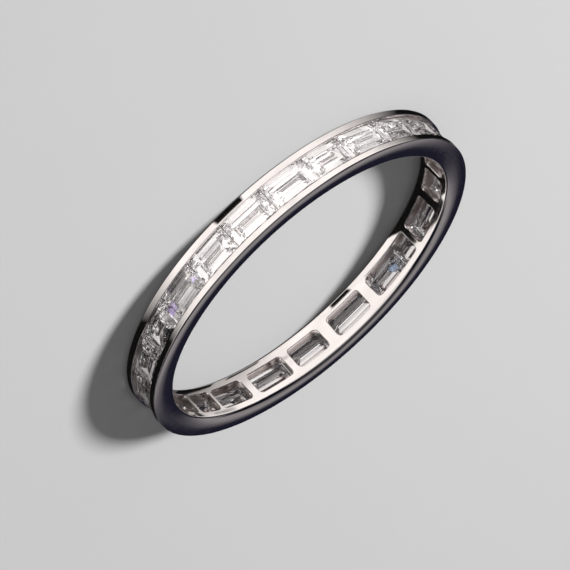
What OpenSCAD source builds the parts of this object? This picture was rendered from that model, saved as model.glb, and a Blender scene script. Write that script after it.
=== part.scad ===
// Full eternity ring: a white metal band with step cut baguette stones in a channel all round it,
// and windows cut through the sleeve behind the stones.
// The ring lies on its side face, with its axis along +Z and its origin at the middle of that face's plane.

/* [Band] */
// Diameter of the finger hole
finger_d = 17.35; // [16:0.05:20]
// Thickness of the band, from the finger hole to the outside of the rails
wall_t = 1.225; // [1.2:0.005:1.4]
// Width of the band along the finger
band_w = 2.2; // [2.15:0.01:2.6]
// Thickness of the sleeve under the channel
sleeve_t = 0.325; // [0.25:0.005:0.35]
// Rounding of the outer edges of the rails
outer_edge_r = 0.09; // [0.05:0.01:0.12]
// Rounding of the edges of the finger hole
inner_edge_r = 0.22; // [0.1:0.01:0.25]
// Radius of the slight dome on the two side faces
side_dome_r = 3.6; // [3:0.1:6]
// Width of the flat that the polishing leaves in the middle of a side face
side_flat_w = 0.4; // [0.2:0.05:0.6]

/* [Channel] */
// Width of the opening between the two rails
channel_w = 1.43; // [1.35:0.01:1.5]
// Width of the channel below the seats of the stones
lower_w = 1.3; // [1.28:0.01:1.34]
// Rounding of the lip of each rail
lip_edge_r = 0.03; // [0.02:0.005:0.04]

/* [Windows] */
// Width of a window along the finger
window_w = 1.24; // [1:0.01:1.26]
// Corner radius of a window
window_corner_r = 0.24; // [0.1:0.01:0.3]

/* [Stones] */
// Width of a stone across its girdle
stone_w = 1.55; // [1.54:0.01:1.6]
// Thickness of the girdle
girdle_t = 0.04; // [0.02:0.005:0.05]
// Depth of the tables below the outside of the rails
table_drop = 0.14; // [0.12:0.01:0.18]
// Clearance between a stone and its seat
seat_gap = 0.03; // [0.02:0.005:0.035]
// Gap between the girdles of two stones
stone_gap = 0.03; // [0.02:0.005:0.05]
// How much the cut differs from stone to stone, as a share of each step
cut_spread = 0.06; // [0:0.01:0.1]

/* [Hidden] */
// Each stone, in order round the ring: the angle that it takes, and the bar of the sleeve after it.
// A bar of 0 joins two windows. The angles are shares, so they need not add up to 360.
SPAN = 0;
BAR = 1;
STONES = [
    [15.0, 1.7],
    [13.0, 1.6],
    [16.6, 3.2],
    [17.8, 2.7],
    [16.4, 4.2],
    [18.9, 4.2],
    [14.0, 0.0],
    [11.5, 2.5],
    [18.5, 3.8],
    [16.0, 2.5],
    [14.0, 3.0],
    [13.5, 3.0],
    [13.4, 3.0],
    [13.7, 3.0],
    [15.4, 3.0],
    [13.6, 3.0],
    [15.1, 3.0],
    [15.1, 3.0],
    [14.4, 3.0],
    [15.7, 3.0],
    [13.7, 3.0],
    [14.9, 3.0],
    [14.9, 3.0],
    [14.9, 3.0]
];
// Where the first stone starts
FIRST_ANGLE = 5.2;

// The steps of a stone, away from its girdle: the distance above or below it, and the inset from its sides
STEP = 0;
INSET = 1;
CROWN = [
    [0.09, 0.13],
    [0.15, 0.26],
    [0.19, 0.38]
];
PAVILION = [
    [0.22, 0.19],
    [0.46, 0.44],
    [0.68, 0.755]
];
// The inset from the ends of a crown, as a share of that from its sides
CROWN_ENDS = 1.3;
// The turn between one stone's cut and the next, which spreads the differences evenly
CUT_TURN = 137.5;

count = len(STONES);
function stone_name(i) = str("stone_", i < 9 ? "0" : "", i + 1);

metal = [0.86, 0.85, 0.83];
diamond = [0.93, 0.95, 0.98];
round_fn = 180;
corner_steps = 4;
edge_steps = 6;
dome_steps = 3;

finger_r = finger_d / 2;
outer_r = finger_r + wall_t;
floor_r = finger_r + sleeve_t;
mid_z = band_w / 2;

// Heights of a stone, from the ring's axis
table_r = outer_r - table_drop;
girdle_top_r = table_r - CROWN[len(CROWN) - 1][STEP];
girdle_low_r = girdle_top_r - girdle_t;

// Angles and lengths round the ring
share_sum = sum_of(SPAN, count);
function sum_of(column, n) = n <= 0 ? 0 : STONES[n - 1][column] + sum_of(column, n - 1);
function start_angle(i) = FIRST_ANGLE + sum_of(SPAN, i) / share_sum * 360;
function span_angle(i) = STONES[i][SPAN] / share_sum * 360;
function half_length(i) = girdle_low_r * tan(span_angle(i) / 2) - stone_gap / 2;
longest_half = max([for (i = [0:count - 1]) half_length(i)]);
function bar_before(i) = STONES[(i + count - 1) % count][BAR];
function bar_after(i) = STONES[i % count][BAR];

// Points on an arc in the profile, as distance from the axis and distance from the middle plane
function arc(centre, r, from, to, steps) = [
    for (k = [0:steps]) let (a = from + (to - from) * k / steps) centre + r * [cos(a), sin(a)]
];

// The dome of a side face, and the roundings that meet it
dome_r0 = (finger_r + outer_r) / 2;
dome_centre = [dome_r0, band_w / 2 - sqrt(pow(side_dome_r, 2) - pow(side_flat_w / 2, 2))];
function edge_centre(r, edge_r) = [
    r,
    dome_centre[1] + sqrt(pow(side_dome_r - edge_r, 2) - pow(r - dome_r0, 2))
];
outer_edge = edge_centre(outer_r - outer_edge_r, outer_edge_r);
inner_edge = edge_centre(finger_r + inner_edge_r, inner_edge_r);
function angle_from_dome(p) = atan2(p[1] - dome_centre[1], p[0] - dome_centre[0]);
flat_angle = asin(side_flat_w / 2 / side_dome_r);

// The notch that holds the girdles, clear of the stones by the seat's gap
notch_half = stone_w / 2 + seat_gap;
pavilion_slope = PAVILION[0][STEP] / PAVILION[0][INSET];
crown_slope = CROWN[0][STEP] / CROWN[0][INSET];
seat_drop = seat_gap * norm([1, pavilion_slope]);
function seat_r(half) = girdle_low_r - (stone_w / 2 - half) * pavilion_slope - seat_drop;
lip_inset = (stone_w - channel_w) / 2;
lip_r = norm([girdle_top_r + lip_inset * crown_slope, longest_half - lip_inset]) + seat_gap;
roof_r = norm([girdle_top_r, longest_half]) + seat_gap;

// Half of the band's section, from the finger hole round the side to the floor of the channel
half_section = concat(
    arc(inner_edge, inner_edge_r, 180, angle_from_dome(inner_edge), edge_steps),
    arc(dome_centre, side_dome_r, angle_from_dome(inner_edge), 90 + flat_angle, dome_steps),
    arc(dome_centre, side_dome_r, 90 - flat_angle, angle_from_dome(outer_edge), dome_steps),
    arc(outer_edge, outer_edge_r, angle_from_dome(outer_edge), 0, edge_steps),
    arc([outer_r - lip_edge_r, channel_w / 2 + lip_edge_r], lip_edge_r, 0, -90, edge_steps),
    [
        [lip_r, channel_w / 2],
        [roof_r, notch_half],
        [seat_r(notch_half), notch_half],
        [seat_r(lower_w / 2), lower_w / 2],
        [floor_r, lower_w / 2]
    ]
);
half_count = len(half_section);

module band_section() {
    polygon(concat(
        [for (p = half_section) [p[0], mid_z + p[1]]],
        [for (k = [1:half_count]) let (p = half_section[half_count - k]) [p[0], mid_z - p[1]]]
    ));
}

// A rectangle with rounded corners, drawn as an outline so that its walls stay flat
module rounded_slot(w, l, r) {
    polygon([
        for (c = [[1, 1, 0], [-1, 1, 90], [-1, -1, 180], [1, -1, 270]])
            each arc([c[0] * (w / 2 - r), c[1] * (l / 2 - r)], r, c[2], c[2] + 90, corner_steps)
    ]);
}

// A window from the bar before stone i to the next bar, which is one stone further on past a bar of 0
module window(i) {
    last = bar_after(i) > 0 ? i : i + 1;
    from = start_angle(i) + bar_before(i) / 2;
    to = start_angle(i) + span_angle(i) + (last > i ? span_angle(last % count) : 0) - bar_after(last) / 2;
    rotate([0, 0, (from + to) / 2])
        translate([finger_r * 0.9, 0, mid_z])
            rotate([0, 90, 0])
                linear_extrude(finger_r * 0.1 + sleeve_t + 0.2)
                    rounded_slot(window_w, 2 * finger_r * sin((to - from) / 2), window_corner_r);
}

module band() {
    color(metal)
        difference() {
            rotate_extrude($fn = round_fn)
                band_section();
            for (i = [0:count - 1])
                if (bar_before(i) > 0)
                    window(i);
        }
}

// A step as this stone has it. The steps next to the girdle are alike on all stones, as the seats hold them.
function cut(i) = cut_spread * sin(i * CUT_TURN);
function cut_step(steps, k, column, i) = steps[k][column] + (steps[k][column] - steps[0][column]) * cut(i);

// Levels of a stone from its table to its keel: height from the axis, inset from sides, inset from ends
function levels(i) = concat(
    [
        for (k = [len(CROWN) - 1:-1:0])
            let (inset = cut_step(CROWN, k, INSET, i))
                [girdle_top_r + CROWN[k][STEP], inset, inset * CROWN_ENDS]
    ],
    [[girdle_top_r, 0, 0], [girdle_low_r, 0, 0]],
    [
        for (k = [0:len(PAVILION) - 1])
            [girdle_low_r - cut_step(PAVILION, k, STEP, i), PAVILION[k][INSET], PAVILION[k][INSET]]
    ]
);
level_count = len(CROWN) + 2 + len(PAVILION);
level_faces = concat(
    [[0, 1, 2, 3]],
    [
        for (k = [0:level_count - 2])
            for (c = [0:3])
                let (n = (c + 1) % 4) [4 * k + n, 4 * k + c, 4 * k + 4 + c, 4 * k + 4 + n]
    ],
    [[for (c = [3:-1:0]) 4 * (level_count - 1) + c]]
);

module stone(i) {
    points = [
        for (s = levels(i))
            let (w = stone_w / 2 - s[1], l = half_length(i) - s[2])
                for (c = [[-1, -1], [-1, 1], [1, 1], [1, -1]])
                    [s[0], c[0] * l, mid_z + c[1] * w]
    ];
    color(diamond)
        rotate([0, 0, start_angle(i) + span_angle(i) / 2])
            polyhedron(points, level_faces);
}

band();
for (i = [0:count - 1])
    stone(i);
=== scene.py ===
"""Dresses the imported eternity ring: a fine band mesh over the CAD band, and materials, light and camera."""
import math
import random

import bmesh
import bpy
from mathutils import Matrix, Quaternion, Vector


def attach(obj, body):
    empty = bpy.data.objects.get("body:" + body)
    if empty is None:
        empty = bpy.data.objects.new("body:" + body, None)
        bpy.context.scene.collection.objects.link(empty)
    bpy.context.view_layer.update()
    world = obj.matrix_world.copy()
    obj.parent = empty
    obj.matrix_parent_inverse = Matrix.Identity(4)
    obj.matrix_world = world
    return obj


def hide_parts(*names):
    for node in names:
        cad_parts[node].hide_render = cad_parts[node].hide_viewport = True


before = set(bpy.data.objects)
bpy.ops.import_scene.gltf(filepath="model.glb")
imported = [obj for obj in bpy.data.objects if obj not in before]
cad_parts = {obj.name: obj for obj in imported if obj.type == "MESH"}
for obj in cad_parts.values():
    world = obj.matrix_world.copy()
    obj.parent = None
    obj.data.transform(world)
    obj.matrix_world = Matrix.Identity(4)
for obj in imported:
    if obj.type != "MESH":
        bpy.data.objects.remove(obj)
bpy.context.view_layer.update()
scene = bpy.context.scene
# Blender works in metres. Sizes here are in millimetres, apart from the camera's clip distances and the sizes of
# the floor and the light.
MM = 0.001

# The band's sizes, as in part.scad
FINGER_R = 8.675
OUTER_R = 9.9
FLOOR_R = 9.0
BAND_W = 2.2
MID_Z = BAND_W / 2
CHANNEL_HALF = 0.715
LOWER_HALF = 0.65
NOTCH_HALF = 0.805
LIP_R = 9.758
ROOF_R = 9.728
SEAT_TOP_R = 9.519
SEAT_LOW_R = 9.339
LIP_EDGE = 0.03
DOME_R = 3.6
# Where the side faces are highest, as distance from the axis: a little further out than in part.scad
DOME_TOP = 9.4
# Roundings of the long edges, outside and at the finger hole: crisper than in part.scad, as the photo shows them
OUTER_EDGE = 0.06
INNER_EDGE = 0.12

# Each stone's share of the ring in degrees, and the bar of the sleeve after it
STONES = [
    (15.0, 1.7), (13.0, 1.6), (16.6, 3.2), (17.8, 2.7), (16.4, 4.2), (18.9, 4.2),
    (14.0, 0.0), (11.5, 2.5), (18.5, 3.8), (16.0, 2.5), (14.0, 3.0), (13.5, 3.0),
    (13.4, 3.0), (13.7, 3.0), (15.4, 3.0), (13.6, 3.0), (15.1, 3.0), (15.1, 3.0),
    (14.4, 3.0), (15.7, 3.0), (13.7, 3.0), (14.9, 3.0), (14.9, 3.0), (14.9, 3.0),
]
# Where the first stone starts, in degrees
FIRST_ANGLE = 5.2
# The windows: half of their width, the radius of their corners, and the roundings of their edges on the side of
# the finger and on the floor of the channel
WINDOW_HALF = 0.62
WINDOW_CORNER = 0.24
WINDOW_EDGE = 0.045
FLOOR_EDGE = 0.012

# How uneven the ring is, as one set by hand: the rails in and out, the lips to and fro, how much further the lips
# are pressed over the middle of a stone than over its ends, and the side faces
RAIL_WAVE = 0.003
LIP_WAVE = 0.006
LIP_PRESS = 0.010
FACE_WAVE = 0.0012
# The share of the press that leaves the lips where they are
MEAN_PRESS = 0.4

# The band's mesh: steps for each radian round the ring, the fewest along a window, and those across a window
STEPS_PER_RADIAN = 86
FEWEST_STEPS = 14
ACROSS = 12
# How far the loops that keep a rounding crisp lie from it, along a surface and inside a window
SUPPORT = 0.012
WALL_SUPPORT = 0.01


# ---- camera ----

def add_camera():
    """The photo's view: low over the ring, and rolled so that the ring seems to stand on its rim.

    The distance and the elevation are from the ring's middle, and the camera aims a little beside it."""
    distance, elevation, roll = 244.59, math.radians(21.33), math.radians(136.84)
    aim = Vector((0.815, -0.221, MID_Z)) * MM
    data = bpy.data.cameras.new("photo_camera")
    data.sensor_width = 36
    data.lens = 315.87
    data.clip_start = 0.01
    data.clip_end = 20
    camera = bpy.data.objects.new("photo_camera", data)
    camera.location = (0, -distance * math.cos(elevation) * MM, (distance * math.sin(elevation) + MID_Z) * MM)
    camera.rotation_mode = "QUATERNION"
    camera.rotation_quaternion = (aim - camera.location).to_track_quat("-Z", "Y") @ Quaternion((0, 0, 1), roll)
    scene.collection.objects.link(camera)
    scene.camera = camera


# ---- band ----

def arc(centre, radius, start, end, steps):
    """Points on an arc of the profile; angles in degrees, 0 away from the axis and 90 away from the middle."""
    return [
        (centre[0] + radius * math.cos(math.radians(start + (end - start) * k / steps)),
         centre[1] + radius * math.sin(math.radians(start + (end - start) * k / steps)))
        for k in range(steps + 1)
    ]


def half_profile():
    """Half of the band's section, from the finger hole round the side to the floor of the channel.

    Each point is (r, z, rail, lip, face), with z measured from the middle plane. The last three say how far
    the unevenness of the rail, the lip and the side face reaches there, from 0 to 1."""
    inner_steps, face_steps, outer_steps, rail_steps, lip_steps = 11, 11, 9, 4, 4
    # The side face stops this many degrees short of the roundings
    short = 0.2
    dome = (DOME_TOP, MID_Z - DOME_R)

    def edge(r, radius):
        """The centre of a rounding that touches the dome from inside."""
        return (r, dome[1] + math.sqrt((DOME_R - radius) ** 2 - (r - DOME_TOP) ** 2))

    def angle(p):
        """The direction of a point from the centre of the dome."""
        return math.degrees(math.atan2(p[1] - dome[1], p[0] - dome[0]))

    inner = edge(FINGER_R + INNER_EDGE, INNER_EDGE)
    outer = edge(OUTER_R - OUTER_EDGE, OUTER_EDGE)
    rows = [(FINGER_R, inner[1] - SUPPORT, 0, 0, 0)]
    rows += [(r, z, 0, 0, 0) for r, z in arc(inner, INNER_EDGE, 180, angle(inner), inner_steps)]
    face = arc(dome, DOME_R, angle(inner) - short, angle(outer) + short, face_steps)
    rows += [(r, z, 0, 0, math.sin(math.pi * k / face_steps)) for k, (r, z) in enumerate(face)]
    rounding = arc(outer, OUTER_EDGE, angle(outer), 0, outer_steps)
    rows += [(r, z, k / outer_steps, 0, 0) for k, (r, z) in enumerate(rounding)]
    rail_top, rail_low = outer[1] - SUPPORT, CHANNEL_HALF + LIP_EDGE + SUPPORT
    for k in range(rail_steps + 1):
        rows.append((OUTER_R, rail_top + (rail_low - rail_top) * k / rail_steps, 1, 0 if k == 0 else 1, 0))
    lip = (OUTER_R - LIP_EDGE, CHANNEL_HALF + LIP_EDGE)
    rows += [(r, z, 1, 1, 0) for r, z in arc(lip, LIP_EDGE, 0, -90, lip_steps)]
    rows += [
        (LIP_R, CHANNEL_HALF, 0, 1, 0),
        (ROOF_R, NOTCH_HALF, 0, 0, 0),
        (SEAT_TOP_R, NOTCH_HALF, 0, 0, 0),
        (SEAT_LOW_R, LOWER_HALF, 0, 0, 0),
        (FLOOR_R, LOWER_HALF, 0, 0, 0),
    ]
    return rows


def waves(rng, harmonics):
    """A smooth irregular function round the ring, between about -1 and 1."""
    # About how far such a sum peaks, as a multiple of its root mean square
    peak = 1.6
    parts = [(n, rng.uniform(0, 2 * math.pi), rng.uniform(0.6, 1.0)) for n in harmonics]
    total = math.sqrt(sum(w * w for _, _, w in parts) / 2) * peak
    return lambda t: sum(w * math.sin(n * t + p) for n, p, w in parts) / total


def stone_angles():
    """Start and end of each stone, in radians."""
    share = 360 / sum(span for span, _ in STONES)
    at = FIRST_ANGLE
    spans = []
    for span, _ in STONES:
        spans.append((math.radians(at), math.radians(at + span * share)))
        at += span * share
    return spans


def place_in_stone(t, spans):
    """0 at the ends of a stone and 1 in its middle."""
    for start, end in spans:
        share = ((t - start) % (2 * math.pi)) / (end - start)
        if share <= 1:
            return math.sin(math.pi * share)
    return 0.0


def find_windows():
    """The windows: for each its own angles, and those of its cell, from the middle of one bar to that of the next.

    A bar of 0 joins two windows."""
    spans = stone_angles()
    count = len(STONES)
    windows = []
    for i in range(count):
        before = STONES[i - 1][1]
        if before == 0:
            continue
        last = i if STONES[i][1] > 0 else (i + 1) % count
        start, end = spans[i][0], spans[last][1]
        after = STONES[last][1]
        windows.append({
            "cell": (start, end),
            "angles": (start + math.radians(before / 2), end - math.radians(after / 2)),
        })
    return windows


def vary(window, rng):
    """Gives a window its own size, corners and skew, which differ a little from window to window."""
    low, high = window["angles"]
    window["middle"] = (low + high) / 2
    window["half_length"] = FINGER_R * math.sin((high - low) / 2) + rng.uniform(-0.012, 0.012)
    window["half_width"] = WINDOW_HALF + rng.uniform(-0.012, 0.004)
    window["corners"] = [WINDOW_CORNER * rng.uniform(0.8, 1.1) for _ in range(4)]
    window["skew"] = rng.uniform(-0.025, 0.025)


def window_outline(window, grow, along):
    """A window's outline as (length, width) points: a rounded rectangle, grown outwards by a distance.

    It has the given number of edges along each long side, and ACROSS along each short one. It starts in the
    middle of the corner at the low angle and the high z, and runs to the high angle first."""
    half_l, half_w = window["half_length"] + grow, window["half_width"] + grow
    corner_steps = 3
    corners = [(1, 1, 45), (1, -1, -45), (-1, -1, -135), (-1, 1, 135)]
    points = []

    def corner(k, part):
        """A point on a corner, from -1 at one end over 0 in its middle to 1 at the other."""
        sx, sy, middle = corners[k]
        radius = window["corners"][k] + grow
        centre = (sx * (half_l - radius), sy * (half_w - radius))
        turn = math.radians(middle + 45 * part)
        return (centre[0] + radius * math.cos(turn), centre[1] + radius * math.sin(turn))

    for second, edges in enumerate([along, ACROSS, along, ACROSS]):
        first = (second - 1) % 4
        run = [corner(first, -k / corner_steps) for k in range(corner_steps + 1)]
        end = [corner(second, 1 - k / corner_steps) for k in range(corner_steps + 1)]
        steps = edges - 2 * corner_steps
        a, b = run[-1], end[0]
        straight = [(a[0] + (b[0] - a[0]) * k / steps, a[1] + (b[1] - a[1]) * k / steps) for k in range(1, steps)]
        points += (run + straight + end)[:-1]
    return [(length + window["skew"] * width, width) for length, width in points]


class Skin:
    """Collects vertices and faces of the band's mesh, in millimetres."""

    def __init__(self):
        self.points = []
        self.faces = []

    def put(self, x, y, z):
        """Adds a vertex and returns its number."""
        self.points.append((x, y, z))
        return len(self.points) - 1

    def add(self, r, t, z):
        """Adds a vertex by its distance from the axis, its angle round the ring and its height."""
        return self.put(r * math.cos(t), r * math.sin(t), z)

    def between(self, a, b, share):
        """A loop part of the way from one loop to another, kept at the radius of the first."""
        loop = []
        for i, j in zip(a, b):
            p, q = self.points[i], self.points[j]
            x, y, z = (p[k] + (q[k] - p[k]) * share for k in range(3))
            scale = math.hypot(p[0], p[1]) / math.hypot(x, y)
            loop.append(self.put(x * scale, y * scale, z))
        return loop

    def join(self, loops):
        """Quads between each loop and the next. The loops are closed and have the same number of vertices."""
        for a, b in zip(loops, loops[1:]):
            for k in range(len(a)):
                m = (k + 1) % len(a)
                self.faces.append((a[k], a[m], b[m], b[k]))


def add_rails(skin, rng, profile, thetas):
    """Both sides of the band, with rail and lip. Returns the first and the last loop of each, by its side."""
    spans = stone_angles()
    middles = [place_in_stone(t, spans) for t in thetas]
    first, last = {}, {}
    for side in (1, -1):
        lip_wave = waves(rng, [5, 11, 17, 29, 43])
        rail_wave = waves(rng, [3, 7, 13, 22])
        face_wave = waves(rng, [4, 9, 15])
        loops = []
        for r, z, rail, lip, face in profile:
            loop = []
            for t, middle in zip(thetas, middles):
                press = LIP_WAVE * lip_wave(t) + LIP_PRESS * (middle - MEAN_PRESS)
                rr = r + rail * RAIL_WAVE * (rail_wave(t) - 1)
                zz = z - lip * press + face * FACE_WAVE * (face_wave(t) - 1)
                loop.append(skin.add(rr, t, MID_Z + side * zz))
            loops.append(loop)
        skin.join(loops)
        first[side], last[side] = loops[0], loops[-1]
    return first, last


def quarter(steps):
    """The angles of a quarter turn in radians."""
    return [math.radians(90 * k / steps) for k in range(steps + 1)]


def add_window(skin, window, along, finger_border, floor_border):
    """The sleeve round a window, from the side of the finger through the window to the floor of the channel."""

    def ring(radius, grow):
        """A loop round the window at a distance from the axis, grown outwards."""
        return [
            skin.add(radius, window["middle"] + math.asin(length / radius), MID_Z + width)
            for length, width in window_outline(window, grow, along)
        ]

    edge = [ring(FINGER_R + WINDOW_EDGE * (1 - math.sin(a)), WINDOW_EDGE * (1 - math.cos(a))) for a in quarter(4)]
    support = ring(FINGER_R, WINDOW_EDGE + SUPPORT)
    # A loop about halfway from the window to the border of its cell keeps the quads there even
    loops = [finger_border, skin.between(support, finger_border, 0.55), support] + edge[::-1]
    loops.append(ring(FINGER_R + WINDOW_EDGE + WALL_SUPPORT, 0))
    loops.append(ring(FLOOR_R - FLOOR_EDGE - WALL_SUPPORT, 0))
    loops += [ring(FLOOR_R - FLOOR_EDGE * (1 - math.sin(a)), FLOOR_EDGE * (1 - math.cos(a))) for a in quarter(2)]
    loops.append(floor_border)
    skin.join(loops)


def band_mesh():
    """The band: its two sides, and between them the sleeve with its windows, one cell for each window."""
    rng = random.Random(24)
    profile = half_profile()
    windows = find_windows()
    # The angles of the vertices, and for each cell the number of its first one and of its steps
    thetas, starts = [], []
    for window in windows:
        low, high = window["cell"]
        n = max(FEWEST_STEPS, round((high - low) * STEPS_PER_RADIAN))
        starts.append((len(thetas), n))
        thetas += [low + (high - low) * k / n for k in range(n)]
    total = len(thetas)
    skin = Skin()
    first_rows, last_rows = add_rails(skin, rng, profile, thetas)

    def bars(radius, half):
        """Vertices on the middle line of each bar, from high z to low z, without the ends."""
        return {
            start: [skin.add(radius, thetas[start], MID_Z + half * (1 - 2 * k / ACROSS)) for k in range(1, ACROSS)]
            for start, _ in starts
        }

    def border(start, n, rows, columns):
        """The vertices shared round a cell, in the order of a window's outline."""
        top = [rows[1][(start + k) % total] for k in range(n + 1)]
        low = [rows[-1][(start + k) % total] for k in range(n, -1, -1)]
        return top + columns[(start + n) % total] + low + columns[start][::-1]

    finger_bars = bars(FINGER_R, profile[0][1])
    floor_bars = bars(FLOOR_R, LOWER_HALF)
    for (start, n), window in zip(starts, windows):
        vary(window, rng)
        finger_border = border(start, n, first_rows, finger_bars)
        floor_border = border(start, n, last_rows, floor_bars)
        add_window(skin, window, n, finger_border, floor_border)
    return skin


def add_band():
    """The fine band, which stands for the CAD band."""
    skin = band_mesh()
    mesh = bpy.data.meshes.new("band_fine")
    mesh.from_pydata([(x * MM, y * MM, z * MM) for x, y, z in skin.points], [], skin.faces)
    bm = bmesh.new()
    bm.from_mesh(mesh)
    bmesh.ops.recalc_face_normals(bm, faces=bm.faces)
    for f in bm.faces:
        f.smooth = True
    bm.to_mesh(mesh)
    bm.free()
    mesh.set_sharp_from_angle(angle=math.radians(40))
    band = bpy.data.objects.new("band_fine", mesh)
    scene.collection.objects.link(band)
    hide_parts("band")
    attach(band, "root")
    return band


# ---- materials ----

class Nodes:
    """Short calls for the node tree of a material or a world."""

    def __init__(self, owner):
        owner.use_nodes = True
        self.owner = owner
        self.tree = owner.node_tree
        self.shader = self.tree.nodes.get("Principled BSDF")

    def put(self, socket, value):
        """Links another node's output to a socket, or sets its value."""
        if isinstance(value, bpy.types.NodeSocket):
            self.tree.links.new(value, socket)
        else:
            socket.default_value = value

    def node(self, kind, inputs=(), **settings):
        """Adds a node, and gives it its settings and then its inputs, by name or number."""
        n = self.tree.nodes.new(kind)
        for key, value in settings.items():
            setattr(n, key, value)
        for key, value in dict(inputs).items():
            self.put(n.inputs[key], value)
        return n

    def math(self, operation, *values):
        return self.node("ShaderNodeMath", dict(enumerate(values)), operation=operation).outputs[0]

    def product(self, first, *others):
        for value in others:
            first = self.math("MULTIPLY", first, value)
        return first

    def largest(self, first, *others):
        for value in others:
            first = self.math("MAXIMUM", first, value)
        return first

    def distance(self, a, b):
        return self.math("ABSOLUTE", self.math("SUBTRACT", a, b))

    def noise(self, vector, scale, detail=2.0, roughness=0.5):
        inputs = {"Vector": vector, "Scale": scale, "Detail": detail, "Roughness": roughness}
        return self.node("ShaderNodeTexNoise", inputs).outputs["Fac"]

    def span(self, value, low, high, to_low=0.0, to_high=1.0):
        """Maps a value from one range to another, and keeps it there."""
        inputs = {"Value": value, "From Min": low, "From Max": high, "To Min": to_low, "To Max": to_high}
        return self.node("ShaderNodeMapRange", inputs).outputs["Result"]

    def near(self, value, middle, half, soft):
        """1 near a value, with a soft edge."""
        return self.span(self.distance(value, middle), half + soft, half - soft)

    def within(self, value, low, high, soft):
        """1 between two values, with soft edges."""
        return self.near(value, (low + high) / 2, (high - low) / 2, soft)

    def turn(self, x, y):
        """The angle round the ring in degrees, from +X towards +Y."""
        return self.product(self.math("ARCTAN2", y, x), 180 / math.pi)

    def mix(self, share, a, b):
        """A colour between two. The Mix node has them at inputs 6 and 7, and the result at output 2."""
        n = self.node("ShaderNodeMix", {0: share, 6: a, 7: b}, data_type="RGBA")
        return n.outputs[2]

    def bump(self, height, strength, distance):
        return self.node("ShaderNodeBump", {"Height": height, "Strength": strength, "Distance": distance}).outputs[0]

    def millimetres(self):
        """The place on the object in millimetres: as a vector, as x, y and z, and its distance from the axis."""
        metres = self.node("ShaderNodeTexCoord").outputs["Object"]
        place = self.node("ShaderNodeVectorMath", {0: metres, "Scale": 1 / MM}, operation="SCALE").outputs[0]
        x, y, z = self.node("ShaderNodeSeparateXYZ", {0: place}).outputs
        r = self.math("SQRT", self.math("ADD", self.product(x, x), self.product(y, y)))
        return place, x, y, z, r

    def ramp(self, value, stops):
        """A colour ramp; stops are (place, (r, g, b))."""
        n = self.node("ShaderNodeValToRGB", {0: value})
        elements = n.color_ramp.elements
        while len(elements) < len(stops):
            elements.new(0.5)
        for element, (place, colour) in zip(elements, stops):
            element.position = place
            element.color = (*colour, 1)
        return n.outputs[0]

    def vector(self, x, y, z):
        return self.node("ShaderNodeCombineXYZ", {0: x, 1: y, 2: z}).outputs[0]


def metal_material():
    """Polished white metal with fine lines round the ring, a little uneven. It is darker inside the channel, as
    painted shade in the recess, and duller there, and a broken painted shadow line runs along the lips, mostly along
    the upper one."""
    m = Nodes(bpy.data.materials.new("white_metal_polished"))
    place, x, _, z, r = m.millimetres()
    from_middle = m.distance(z, MID_Z)
    # Below the lips, above the side of the finger, and between the rails
    inside = m.product(
        m.span(r, 9.74, 9.70), m.span(r, 8.70, 8.95), m.span(from_middle, CHANNEL_HALF + 0.1, CHANNEL_HALF + 0.09))
    # Noise drawn out round the ring
    lines = m.noise(m.vector(m.product(r, 26), m.product(z, 26), m.product(x, 0.5)), 1.0, 4.0, 0.6)
    cloud = m.noise(place, 0.9, 3.0)
    smear = m.noise(place, 2.7, 2.0)
    colour = m.mix(m.span(cloud, 0.35, 0.65), (0.975, 0.945, 0.93, 1), (0.94, 0.905, 0.895, 1))
    # Darker inside the channel: painted shade in the recess
    colour = m.mix(inside, colour, (0.47, 0.41, 0.39, 1))
    # A broken dark line along the lips: painted shadow where the rails meet the stones, strongest along the upper
    # lip
    lip = m.product(
        m.span(m.distance(from_middle, CHANNEL_HALF), 0.07, 0.04), m.span(r, 9.72, 9.74),
        m.span(m.noise(place, 2.2), 0.35, 0.55, 0.35, 1.0), m.span(z, 1.0, 1.2, 0.15))
    colour = m.mix(lip, colour, (0.10, 0.085, 0.085, 1))
    polish = m.math("ADD", m.span(smear, 0.3, 0.7, 0.05, 0.09), m.span(lines, 0.35, 0.7, 0.0, 0.05))
    m.put(m.shader.inputs["Base Color"], colour)
    m.put(m.shader.inputs["Roughness"], m.math("ADD", polish, m.product(inside, 0.25)))
    m.put(m.shader.inputs["Normal"], m.bump(lines, 0.1, 0.000003))
    m.shader.inputs["Metallic"].default_value = 1.0
    return m.owner


# Painted fire in the stones, tints that stand in for glints of dispersed light, one with a faint painted glow: angle
# round the ring, half of its length in degrees, height, half of its height, distances from the ring's axis, glow and
# colour
PAINTED_FIRE = [
    (-56.0, 2.0, 1.15, 0.24, 9.6, 9.9, 0.0, (0.50, 0.36, 0.95, 1)),
    (114.6, 1.3, 1.14, 0.17, 8.7, 9.25, 0.3, (0.45, 0.56, 0.78, 1)),
]


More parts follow.
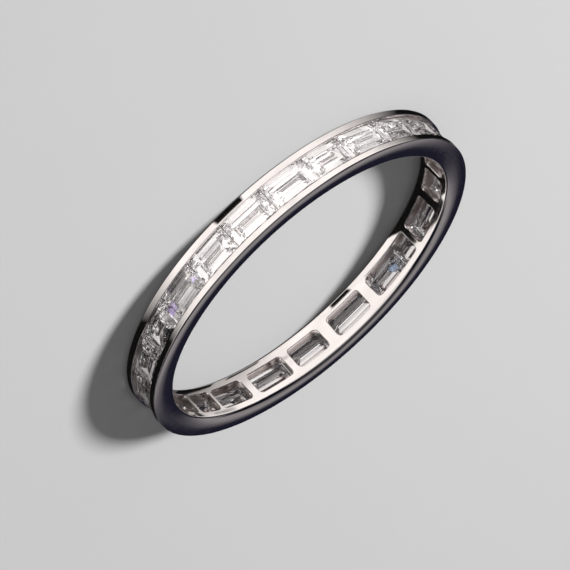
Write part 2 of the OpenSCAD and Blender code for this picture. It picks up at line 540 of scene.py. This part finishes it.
def diamond_material():
    """Clear cut stone with a trace of cloud, a little duller below, and painted violet and blue fire in two places.
    """
    m = Nodes(bpy.data.materials.new("diamond_clear"))
    place, x, y, z, r = m.millimetres()
    turn = m.turn(x, y)
    cloud = m.noise(place, 1.4, 2.0)
    colour = m.mix(m.span(cloud, 0.35, 0.65), (1.0, 1.0, 1.0, 1), (0.965, 0.965, 0.975, 1))
    # Painted fire: fixed tints that stand in for glints of dispersed light, and for one of them a faint painted glow
    for angle, half_turn, height, half_height, low, high, glow, tint in PAINTED_FIRE:
        fire = m.product(
            m.near(turn, angle, half_turn, 0.3), m.near(z, height, half_height, 0.03), m.within(r, low, high, 0.02))
        colour = m.mix(fire, colour, tint)
        if glow:
            m.shader.inputs["Emission Color"].default_value = tint
            m.put(m.shader.inputs["Emission Strength"], m.product(fire, glow))
    dull = m.math("ADD", m.span(cloud, 0.4, 0.7, 0.0, 0.012), m.span(r, 9.30, 9.0, 0.0, 0.05))
    m.put(m.shader.inputs["Base Color"], colour)
    m.put(m.shader.inputs["Roughness"], dull)
    m.shader.inputs["Transmission Weight"].default_value = 1.0
    m.shader.inputs["IOR"].default_value = 2.42
    return m.owner


# Dark zones painted into the floor's glow close to the ring, painted dark reflections that only the metal and the
# stones
# see: angle round the ring, half of their width in degrees, and distances from the ring's axis
MIRRORED_DARK_ZONES = [
    (-88.0, 5.2, 9.8, 10.6),
    (94.5, 4.0, 7.85, 8.7),
    (30.0, 10.0, 8.25, 8.7),
    (53.0, 7.0, 8.25, 8.7),
    (115.0, 11.0, 5.9, 7.7),
    (149.2, 27.8, 5.0, 8.9),
]


def floor_material():
    """A plain pale floor for the camera. Rays that the ring mirrors or refracts see in its place what the photo's
    studio held, painted as light in the floor's glow: a bright table in front of the ring and inside it, with
    painted dark zones.

    Angles are in degrees round the ring, and the camera stands at -90. Zones are 1 where they are dark."""
    m = Nodes(bpy.data.materials.new("pale_floor"))
    place, x, y, _, r = m.millimetres()
    turn = m.turn(x, y)
    ray = m.node("ShaderNodeLightPath").outputs
    seen, refracted = ray["Is Camera Ray"], ray["Is Transmission Ray"]
    pale = m.mix(m.noise(place, 0.06, 3.0), (0.60, 0.60, 0.605, 1), (0.615, 0.613, 0.615, 1))
    m.put(m.shader.inputs["Base Color"], m.mix(seen, (0, 0, 0, 1), pale))

    def slanted(slope):
        """The angle round the ring, turned further for each millimetre away from the axis."""
        return m.math("ADD", turn, m.product(r, slope))

    # Outside the ring, on its +X side between two slanted edges
    outside = m.span(r, 9.2, 9.4)
    plus_x = m.product(outside, m.span(slanted(-9.0), -65, -73), m.span(slanted(-2.67), -92, -71))
    # Outside the ring, on its -X side from behind to a slanted edge in front, and half as dark to refracted rays
    in_front = m.product(m.span(turn, 0, -1), m.span(slanted(5.5), -65, -100))
    minus_x = m.product(
        outside, m.largest(m.span(turn, 145, 152), in_front), m.span(refracted, 0, 1, 1.0, 0.5))
    dark_zones = [m.product(m.near(turn, angle, half, 0.5), m.within(r, low, high, 0.05))
             for angle, half, low, high in MIRRORED_DARK_ZONES]
    # A narrow slanted dark zone painted inside the ring, seen only in reflections and refractions
    streak = m.product(m.near(slanted(12.4), 156.8, 2.5, 2.0), m.near(r, 7.2, 0.5, 0.1), 0.75)
    # A soft zone inside the ring on its +X side, and zones that only refracted rays see behind the ring and at +X
    dusk = m.product(m.span(r, 9.0, 8.9), m.span(turn, -60, 0), m.span(turn, 75, 25, 0.0, 0.9))
    behind = m.product(refracted, m.span(y, 2.0, 6.0), m.span(r, 9.5, 10.5), 0.9)
    aside = m.product(refracted, m.span(x, 4.2, 7.5), m.span(r, 9.2, 9.4, 0.5, 0.95))

    shade = m.largest(m.product(m.largest(plus_x, minus_x, *dark_zones, streak), 0.995), dusk, behind, aside)
    clouds = m.span(m.noise(place, 0.55, 3.0), 0.35, 0.65, 0.93, 1.1)
    # Refracted rays see the floor in front of the ring somewhat brighter
    lift = m.math("ADD", 1.0, m.product(refracted, m.span(y, -5, -8), 0.22))
    # For mirrored and refracted rays the floor is black and glows: painted light and painted dark reflections of the
    # studio
    glow = m.product(m.math("SUBTRACT", 1.0, seen), m.math("SUBTRACT", 1.0, shade), clouds, lift)
    m.shader.inputs["Emission Color"].default_value = (1.0, 0.955, 0.93, 1)
    m.put(m.shader.inputs["Emission Strength"], glow)
    m.shader.inputs["Roughness"].default_value = 0.7
    m.shader.inputs["Specular IOR Level"].default_value = 0.0
    m.owner.cycles.emission_sampling = "NONE"
    return m.owner


def dress(band):
    """Gives the band and the stones their materials."""
    metal, diamond = metal_material(), diamond_material()
    band.data.materials.append(metal)
    for name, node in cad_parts.items():
        node.data.materials.clear()
        node.data.materials.append(metal if name == "band" else diamond)


# ---- floor and light ----

def add_floor():
    """A round floor, wide enough for every view."""
    radius, sides = 1.5, 96
    turns = [2 * math.pi * k / sides for k in range(sides)]
    mesh = bpy.data.meshes.new("floor")
    mesh.from_pydata([(radius * math.cos(a), radius * math.sin(a), 0) for a in turns], [], [tuple(range(sides))])
    mesh.materials.append(floor_material())
    floor = bpy.data.objects.new("floor", mesh)
    scene.collection.objects.link(floor)


def add_key_light():
    """A round softbox on the -X side that faces the ring. The ring doesn't mirror its disk."""
    azimuth, elevation, distance = math.radians(176), math.radians(36.5), 0.5
    level = math.cos(elevation)
    direction = (math.cos(azimuth) * level, math.sin(azimuth) * level, math.sin(elevation))
    data = bpy.data.lights.new("key", "AREA")
    data.shape = "DISK"
    data.size = 0.12
    data.energy = 3.55
    light = bpy.data.objects.new("key", data)
    light.location = Vector(direction) * distance
    light.visible_glossy = False
    light.rotation_mode = "QUATERNION"
    light.rotation_quaternion = light.location.to_track_quat("Z", "Y")
    scene.collection.objects.link(light)


def add_world():
    """The photo's studio. Behind the ring it is dark blue, with a grey card from about 24 to 31 degrees up, beside
    the ring it is dark, in front there is a white card up to about 40 degrees, and the zenith is pale.

    Refracted rays see most of this darker, and white in front apart from the +X side. The floor gets an even fill,
    and the camera sees a pale backdrop."""
    w = Nodes(bpy.data.worlds.new("studio"))
    scene.world = w.owner
    x, y, z = w.node("ShaderNodeSeparateXYZ", {0: w.node("ShaderNodeTexCoord").outputs["Generated"]}).outputs
    ray = w.node("ShaderNodeLightPath").outputs
    navy, dark = (0.010, 0.010, 0.021), (0.006, 0.006, 0.010)
    zenith, white = (0.20, 0.195, 0.20), (0.95, 0.91, 0.90)

    def sky(*stops):
        """Colours by elevation in degrees, up to the dark and the zenith that all sides share."""
        stops = [*stops, (66, dark), (76, zenith)]
        return w.ramp(z, [(math.sin(math.radians(elevation)), colour) for elevation, colour in stops])

    behind = sky(
        (0, navy), (20.5, navy), (24, (0.10, 0.095, 0.105)), (27, (0.235, 0.22, 0.23)), (31, (0.26, 0.245, 0.25)),
        (38, dark))
    beside = sky((0, navy), (60, dark))
    front = sky((0, white), (38, white), (46, dark))
    colour = w.mix(w.span(y, 0.25, 0.6), beside, behind)
    colour = w.mix(w.span(y, -0.45, -0.7), colour, front)
    refracted = ray["Is Transmission Ray"]
    colour = w.mix(w.product(refracted, 0.6), colour, (*dark, 1))
    bright = w.product(refracted, w.span(y, 0.1, -0.25), w.span(x, 0.62, 0.22))
    colour = w.mix(bright, colour, (1.45, 1.40, 1.39, 1))
    colour = w.mix(ray["Is Diffuse Ray"], colour, (0.17, 0.17, 0.172, 1))
    colour = w.mix(ray["Is Camera Ray"], colour, (0.62, 0.62, 0.63, 1))
    w.put(w.tree.nodes["Background"].inputs["Color"], colour)


def add_studio():
    """The light, the world, and how light is traced. It turns many times inside a cut stone."""
    add_key_light()
    add_world()
    scene.view_settings.view_transform = "Standard"
    scene.cycles.max_bounces = 64
    scene.cycles.transmission_bounces = 64
    scene.cycles.glossy_bounces = 64
    scene.cycles.caustics_reflective = False


add_camera()
dress(add_band())
add_floor()
add_studio()
